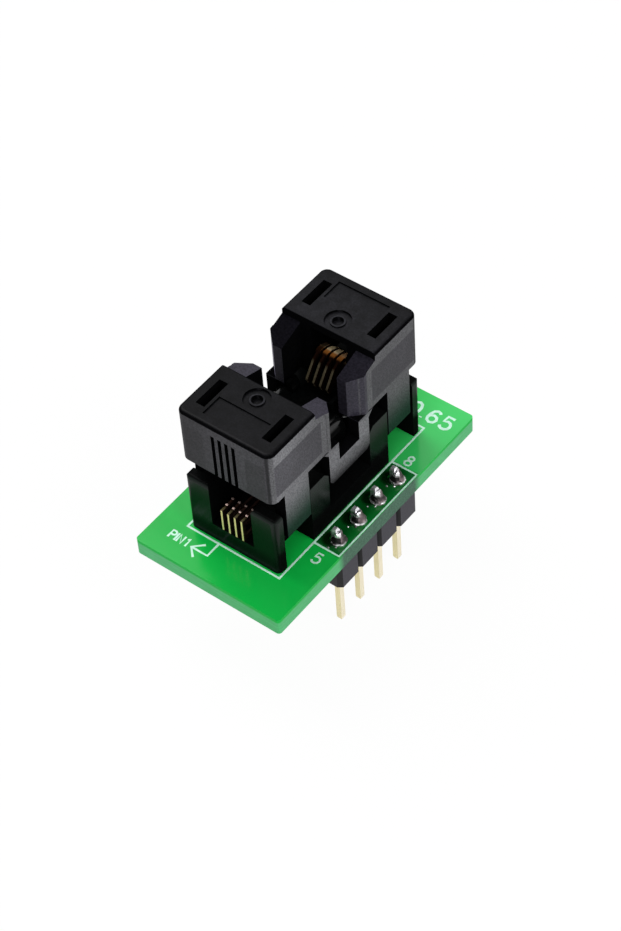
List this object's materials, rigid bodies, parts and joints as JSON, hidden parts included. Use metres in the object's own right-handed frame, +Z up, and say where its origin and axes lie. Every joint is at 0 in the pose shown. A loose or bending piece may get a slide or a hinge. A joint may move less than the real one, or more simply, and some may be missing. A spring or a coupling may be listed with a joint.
{
  "type": "ic test socket",
  "caption": "Open-top test socket for a small leaded package: a press-down floating cover swings the contact arms open. Mounted on an adapter board with rows of header pins.",
  "frame": {"origin": "centre of the board in plan, at the lower ends of the header pins", "axes": "+Z up, +Y along the board towards the end away from lead 1, +X across the rows of header pins"},
  "size_m": [0.0142, 0.0256, 0.0234],
  "materials": {
    "board_green": "glossy green solder mask over a glass-fibre board",
    "header_plastic": "dark moulded plastic",
    "header_pin": "pale gold plating",
    "solder": "bright solder",
    "socket_plastic": "black moulded plastic with a fine grain",
    "contact_gold": "gold plating",
    "contact_arm": "copper-gold plating"
  },
  "bodies": {
    "adapter": {"board": "board_green", "header_strip_left": "header_plastic", "header_strip_right": "header_plastic", "header_solder": "solder", "tail_solder": "solder", "socket_base": "socket_plastic", "package_nest": "socket_plastic", "header_pin_1": "header_pin", "header_pin_2": "header_pin", "header_pin_3": "header_pin", "header_pin_4": "header_pin", "header_pin_5": "header_pin", "header_pin_6": "header_pin", "header_pin_7": "header_pin", "header_pin_8": "header_pin", "contact_1": "contact_gold", "contact_2": "contact_gold", "contact_3": "contact_gold", "contact_4": "contact_gold", "contact_5": "contact_gold", "contact_6": "contact_gold", "contact_7": "contact_gold", "contact_8": "contact_gold"},
    "cover": {"floating_cover": "socket_plastic"},
    "front_arms": {"contact_arm_1": "contact_arm", "contact_arm_2": "contact_arm", "contact_arm_3": "contact_arm", "contact_arm_4": "contact_arm"},
    "rear_arms": {"contact_arm_5": "contact_arm", "contact_arm_6": "contact_arm", "contact_arm_7": "contact_arm", "contact_arm_8": "contact_arm"}
  },
  "joints": [
    {"name": "cover_press", "type": "slide", "parent": "adapter", "child": "cover", "axis": [0, 0, -1], "range_m": [0, 0.002], "stiffness_N_per_m": 2500, "springref_m": -0.0004},
    {"name": "front_arm_swing", "type": "hinge", "parent": "adapter", "child": "front_arms", "pos_m": [0, -0.0036, 0.01514], "axis": [1, 0, 0], "range_deg": [0, 20.6]},
    {"name": "rear_arm_swing", "type": "hinge", "parent": "adapter", "child": "rear_arms", "pos_m": [0, 0.0036, 0.01514], "axis": [-1, 0, 0], "range_deg": [0, 20.6]}
  ],
  "couplings": [
    {"joint": "front_arm_swing", "follows": "cover_press", "rad_per_m": 179.76},
    {"joint": "rear_arm_swing", "follows": "cover_press", "rad_per_m": 179.76}
  ]
}
